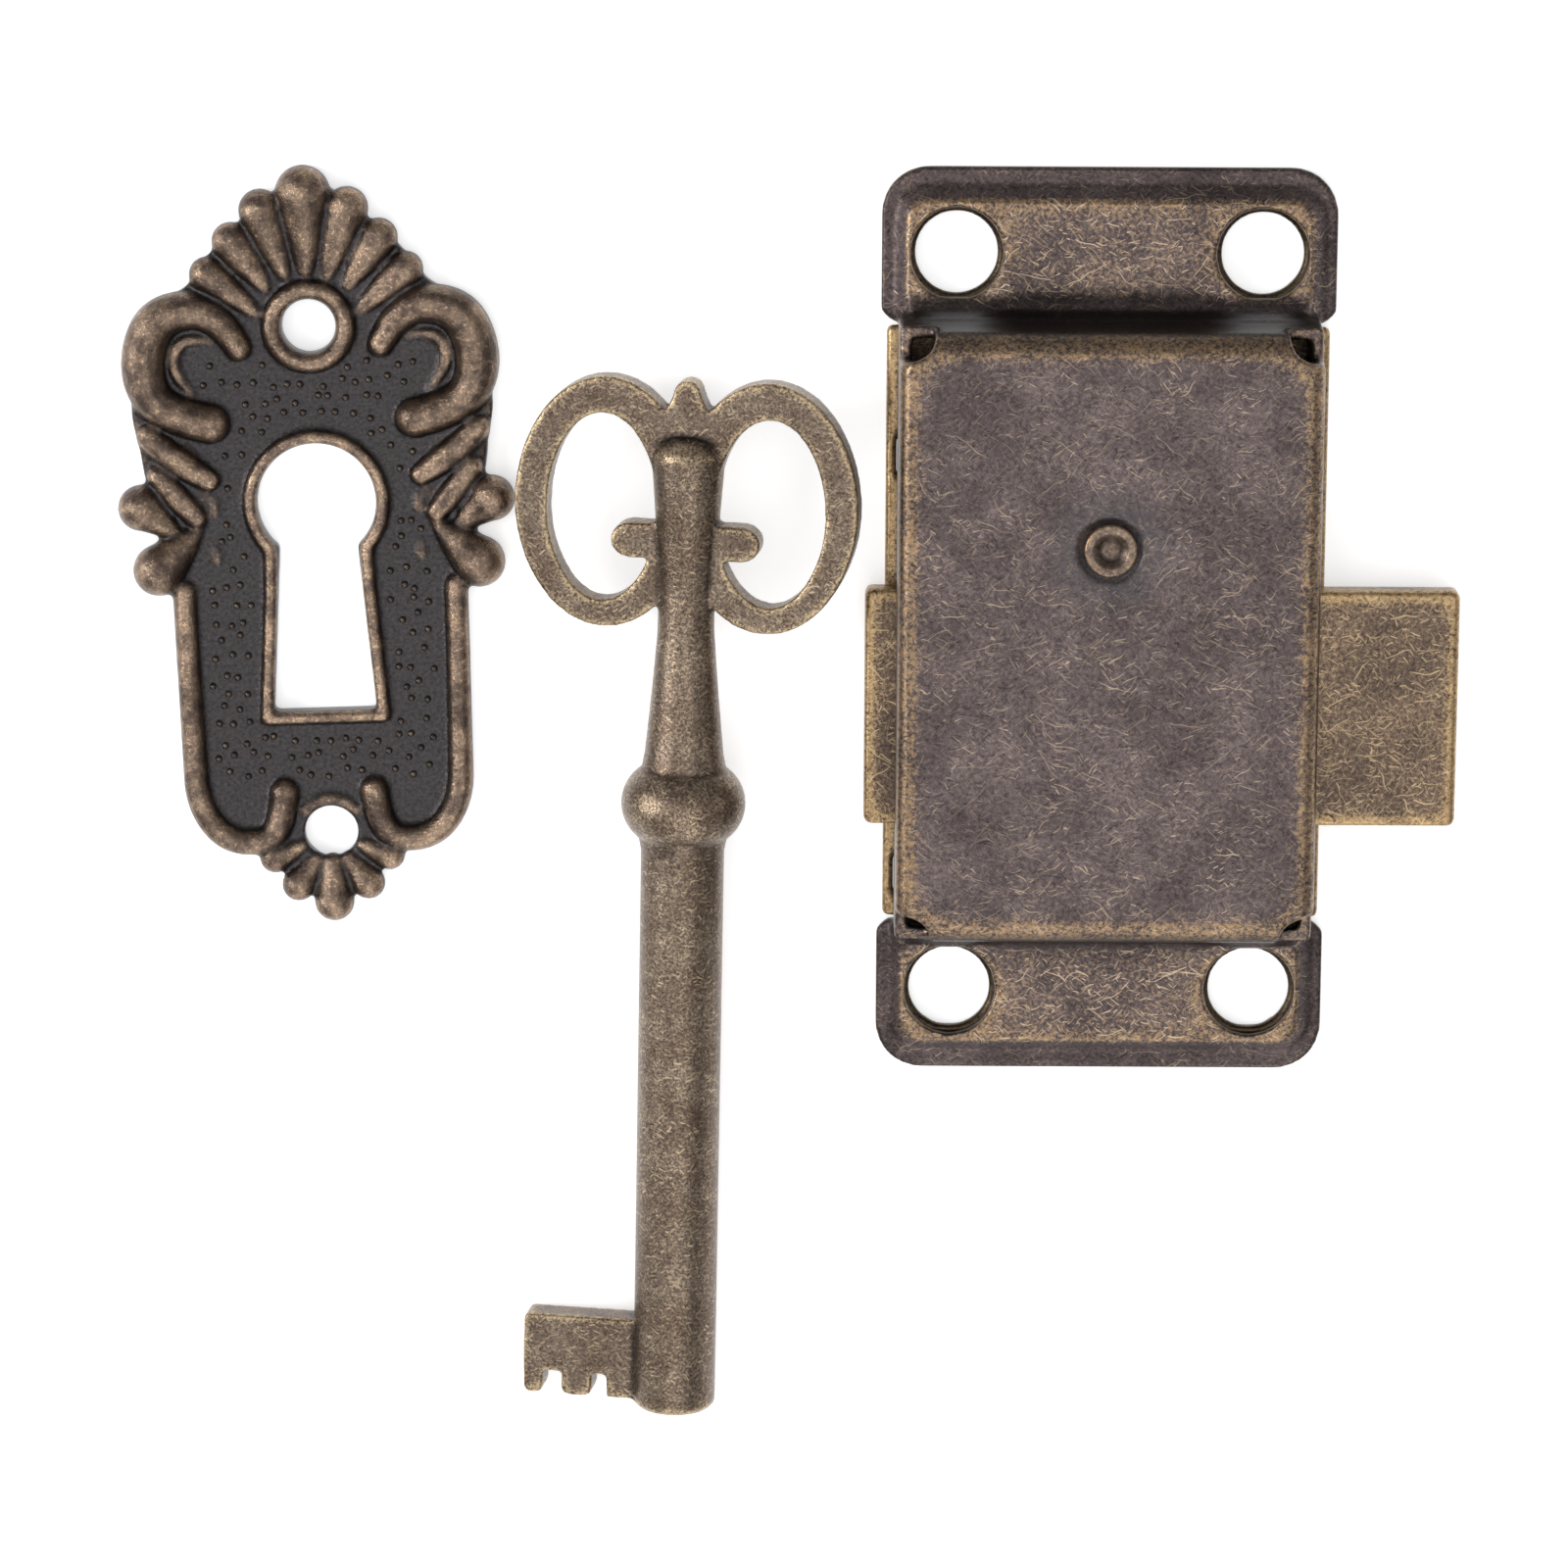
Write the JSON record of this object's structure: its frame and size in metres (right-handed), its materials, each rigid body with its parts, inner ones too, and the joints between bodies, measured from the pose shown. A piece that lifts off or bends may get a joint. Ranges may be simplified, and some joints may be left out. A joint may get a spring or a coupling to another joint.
{
  "type": "cabinet lock",
  "caption": "Surface-mounted warded cabinet lock with sliding bolt, pin for a barrel key, its two-loop key and a cast keyhole escutcheon",
  "frame": {"origin": "centre of the lock's flat back, on the table that lock, key and escutcheon lie on", "axes": "+Z out of the table towards the raised case, +Y along the lock towards the ear nearest the key pin, +X the way the bolt comes out"},
  "size_m": [0.0949, 0.0904, 0.0088],
  "materials": {
    "case_sheet": "antique bronze plated sheet, random fine relieved scratches",
    "base_sheet": "antique bronze plated sheet, satin",
    "rivet_steel": "antique bronze plated, satin",
    "ward_strip": "plain strip",
    "spring_steel": "blued spring strip",
    "bolt_plate": "antique bronze plated, scratched",
    "key_casting": "antique bronze plated casting, fine grain",
    "escutcheon_casting": "antique bronze plated casting, blackened recesses"
  },
  "bodies": {
    "lock_case": {"case_cover": "case_sheet", "base_plate": "base_sheet", "key_pin": "rivet_steel", "outer_ward": "ward_strip", "inner_ward": "ward_strip", "guide_stud": "rivet_steel", "back_spring": "spring_steel"},
    "sliding_bolt": {"bolt": "bolt_plate"},
    "loose_key": {"key": "key_casting"},
    "loose_escutcheon": {"escutcheon": "escutcheon_casting"}
  },
  "joints": [
    {"name": "bolt_throw", "type": "slide", "parent": "lock_case", "child": "sliding_bolt", "axis": [1, 0, 0], "range_m": [-0.008, 0], "deforming": ["back_spring"]},
    {"name": "key_lift", "type": "slide", "parent": "lock_case", "child": "loose_key", "axis": [0, 0, 1], "range_m": [0, 0.03]},
    {"name": "escutcheon_lift", "type": "slide", "parent": "lock_case", "child": "loose_escutcheon", "axis": [0, 0, 1], "range_m": [0, 0.03]}
  ]
}
